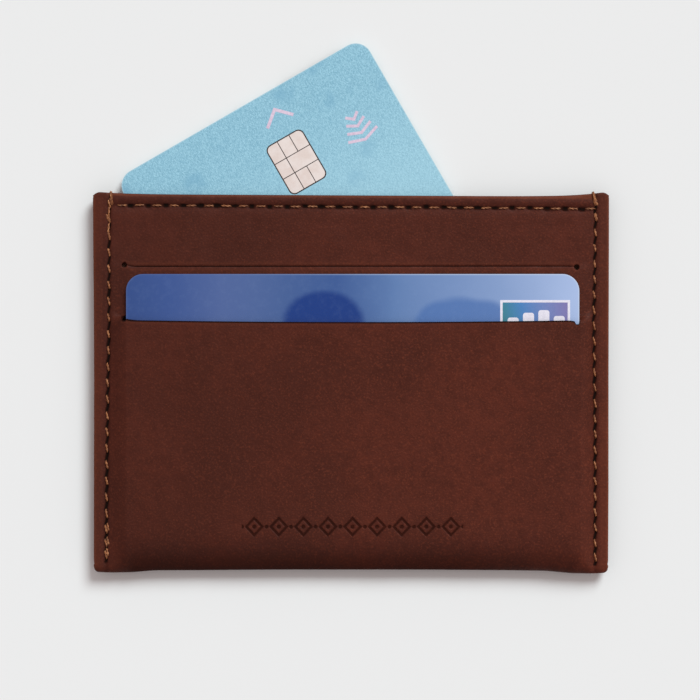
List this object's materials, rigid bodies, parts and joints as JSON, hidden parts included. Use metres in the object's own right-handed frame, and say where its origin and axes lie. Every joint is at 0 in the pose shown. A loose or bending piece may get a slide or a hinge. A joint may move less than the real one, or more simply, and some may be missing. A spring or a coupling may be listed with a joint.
{
  "type": "card holder",
  "caption": "Folded brown leather card holder with stitched sides, two slits in front and a centre pocket, holding a blue and a pale blue plastic card.",
  "frame": {"origin": "centre of the back panel's outer face, which rests on the table", "axes": "+X across to the right seam, +Y up towards the pocket's mouth, +Z out of the front face"},
  "size_m": [0.0972, 0.1003, 0.005],
  "materials": {
    "leather": "matte reddish brown full-grain leather",
    "lining_fabric": "thin brown twill",
    "thread": "waxed two-ply thread",
    "card_core": "white laminated card stock",
    "blue_print": "printed under clear gloss film",
    "pale_print": "pearl print under clear satin film",
    "card_back": "printed back film",
    "chip_contact": "pale contact plate",
    "stripe": "black magnetic stripe",
    "signature": "matte signature panel",
    "antenna_wire": "copper wire"
  },
  "bodies": {
    "wallet": {"front_panel": "leather", "back_panel": "leather", "bottom_fold": "leather", "front_top_hem": "leather", "back_top_hem": "leather", "front_lining": "lining_fabric", "slot_divider": "lining_fabric", "front_hem_needle_thread": "thread", "front_hem_bobbin_thread": "thread", "back_hem_needle_thread": "thread", "back_hem_bobbin_thread": "thread", "left_seam_needle_thread": "thread", "left_seam_bobbin_thread": "thread", "right_seam_needle_thread": "thread", "right_seam_bobbin_thread": "thread"},
    "blue_card": {"blue_card_core": "card_core", "blue_card_front_overlay": "blue_print", "blue_card_back_overlay": "card_back", "blue_card_chip_module": "chip_contact", "blue_card_magnetic_stripe": "stripe", "blue_card_signature_panel": "signature"},
    "pale_card": {"pale_card_core": "card_core", "pale_card_front_overlay": "pale_print", "pale_card_back_overlay": "card_back", "pale_card_chip_module": "chip_contact", "pale_card_magnetic_stripe": "stripe", "pale_card_signature_panel": "signature", "pale_card_antenna_coil": "antenna_wire"}
  },
  "joints": [
    {"name": "blue_card_slide", "type": "slide", "parent": "wallet", "child": "blue_card", "axis": [0, 0.9998, 0.0213], "range_m": [0, 0.047]},
    {"name": "pale_card_slide", "type": "slide", "parent": "wallet", "child": "pale_card", "axis": [0, 1, 0], "range_m": [0, 0.071]}
  ]
}
